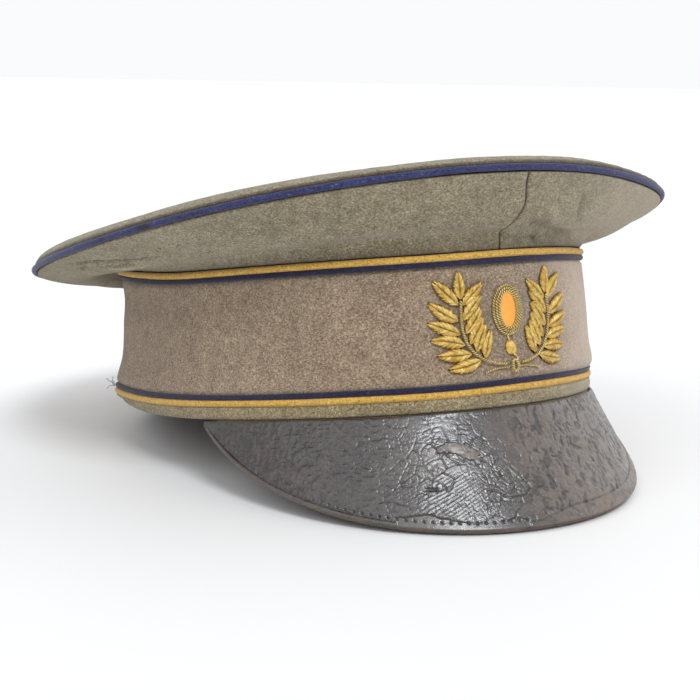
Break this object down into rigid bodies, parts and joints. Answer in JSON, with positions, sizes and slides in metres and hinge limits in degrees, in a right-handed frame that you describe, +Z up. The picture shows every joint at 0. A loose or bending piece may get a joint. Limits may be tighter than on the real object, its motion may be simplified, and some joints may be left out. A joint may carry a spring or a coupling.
{
  "type": "military peaked cap",
  "caption": "Peaked cap with a wide raised crown, piped cloth band, stitched leather visor and an embroidered laurel wreath badge.",
  "frame": {"origin": "middle of the cap's overall length and width, on the surface that the cap rests on, with the rear edge of the band and the visor's edge touching that surface", "axes": "+Z up, -Y towards the visor at the front, +X towards the wearer's left"},
  "size_m": [0.237, 0.2588, 0.1151],
  "materials": {
    "crown_cloth": "matte",
    "band_cloth": "matte",
    "strip_cloth": "matte",
    "blue_cord": "matte",
    "navy_cord": "matte",
    "gold_cord": "satin",
    "bullion": "satin",
    "bullion_rope": "satin",
    "silk": "satin",
    "visor_leather": "satin",
    "binding_leather": "satin",
    "visor_underside": "matte",
    "sweat_leather": "satin",
    "lining": "satin",
    "ribbon": "satin",
    "canvas": "matte",
    "card": "matte",
    "steel": "satin",
    "thread": "matte"
  },
  "bodies": {
    "root": {"crown_top": "crown_cloth", "crown_side_left": "crown_cloth", "crown_side_right": "crown_cloth", "crown_piping": "blue_cord", "crown_interlining": "canvas", "crown_wire": "steel", "wire_ferrule": "steel", "front_stay": "steel", "band_cloth": "band_cloth", "band_stiffener": "card", "band_piping_top_gold": "gold_cord", "band_piping_top_navy": "navy_cord", "band_piping_low_navy": "navy_cord", "band_piping_low_gold": "gold_cord", "base_strip": "strip_cloth", "sweatband": "sweat_leather", "sweatband_stitching": "thread", "sweatband_bow": "ribbon", "lining_side": "lining", "lining_top": "lining", "visor_board": "card", "visor_leather": "visor_leather", "visor_lining": "visor_underside", "visor_binding": "binding_leather", "visor_stitching": "thread", "badge_leaves_left": "bullion", "badge_leaves_right": "bullion", "badge_stems": "bullion_rope", "badge_oval_silk": "silk", "badge_oval_rope": "bullion_rope", "badge_knot": "bullion_rope", "badge_bud": "bullion"}
  },
  "joints": []
}
